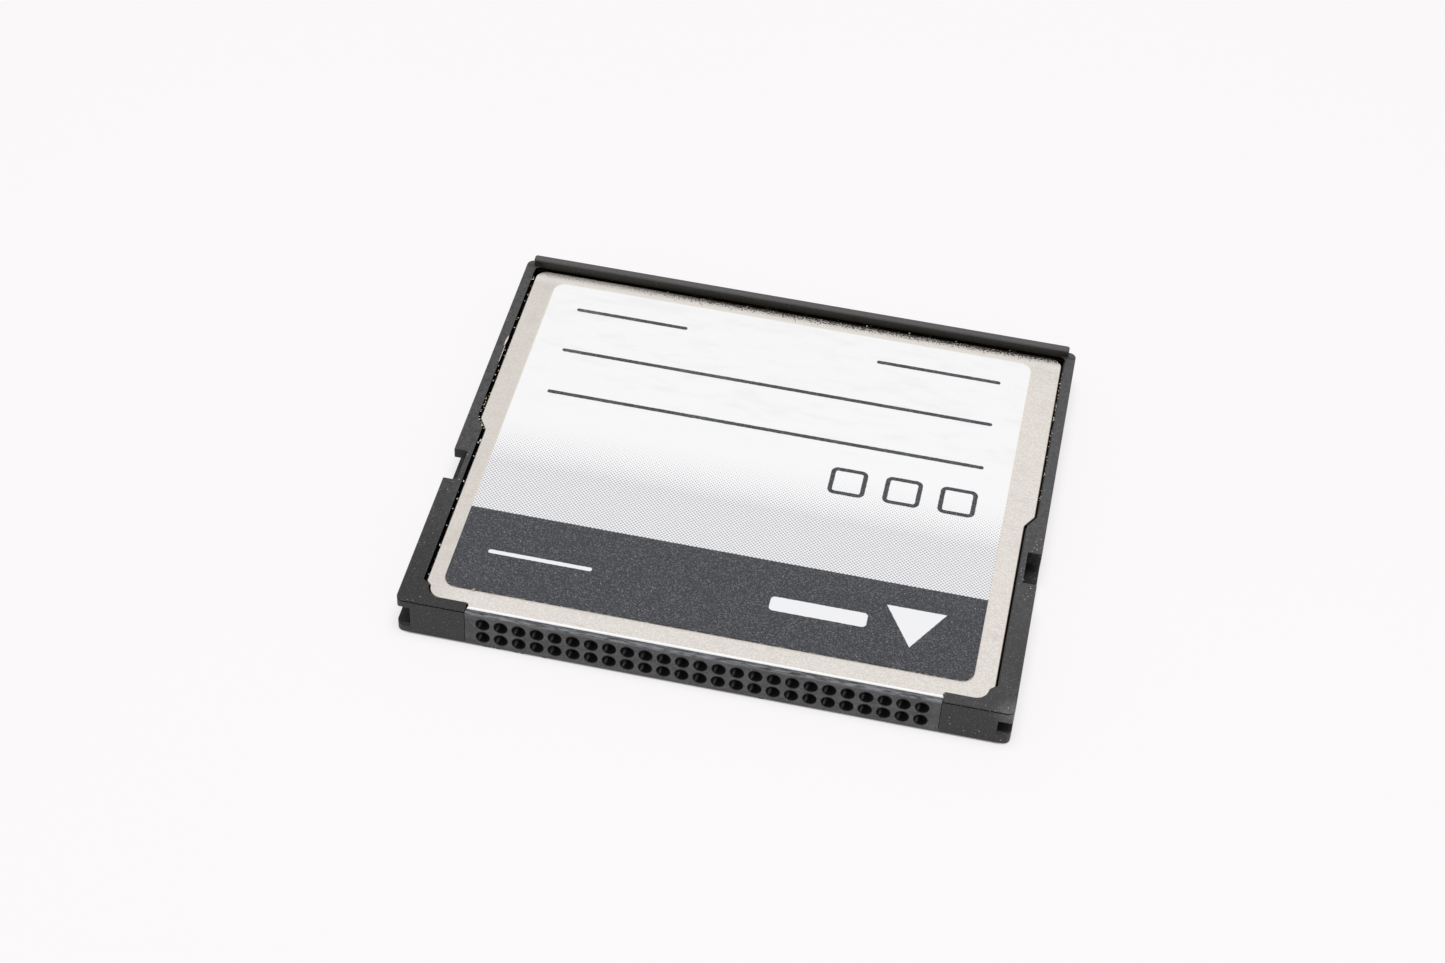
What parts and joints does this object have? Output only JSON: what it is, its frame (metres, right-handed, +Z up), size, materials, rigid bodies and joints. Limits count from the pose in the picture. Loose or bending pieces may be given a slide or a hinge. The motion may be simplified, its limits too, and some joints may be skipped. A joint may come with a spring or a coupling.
{
  "type": "compact flash card",
  "caption": "Thin rectangular memory card with guide grooves in its sides, a raised lip along the rear edge and a socket connector in its front edge.",
  "frame": {"origin": "centre of the card's footprint, on the face that it rests on", "axes": "+X along the connector edge, to the right as the picture shows it; +Y from the connector edge to the rear lip; +Z up, out of the back"},
  "size_m": [0.0428, 0.0364, 0.0039],
  "materials": {
    "frame_plastic": "fine moulded grain",
    "connector_plastic": "satin",
    "panel_steel": "satin",
    "label_film": "semi-gloss print",
    "film_adhesive": "satin",
    "contact_metal": "gold plated",
    "board_laminate": "solder resist",
    "chip_epoxy": "matt moulded",
    "lead_metal": "tin plated",
    "capacitor_ceramic": "matt",
    "resistor_ceramic": "satin",
    "capacitor_epoxy": "satin"
  },
  "bodies": {
    "root": {"card_frame": "frame_plastic", "connector_housing": "connector_plastic", "upper_row_contacts": "contact_metal", "lower_row_contacts": "contact_metal", "back_cover": "panel_steel", "front_cover": "panel_steel", "back_bonding_film": "film_adhesive", "front_bonding_film": "film_adhesive", "back_label": "label_film", "front_label": "label_film", "circuit_board": "board_laminate", "controller_body": "chip_epoxy", "controller_leads": "lead_metal", "upper_memory_body": "chip_epoxy", "upper_memory_leads": "lead_metal", "lower_memory_body": "chip_epoxy", "lower_memory_leads": "lead_metal", "voltage_regulator_body": "chip_epoxy", "voltage_regulator_leads": "lead_metal", "ceramic_capacitors": "capacitor_ceramic", "chip_resistors": "resistor_ceramic", "bulk_capacitor": "capacitor_epoxy"}
  },
  "joints": []
}
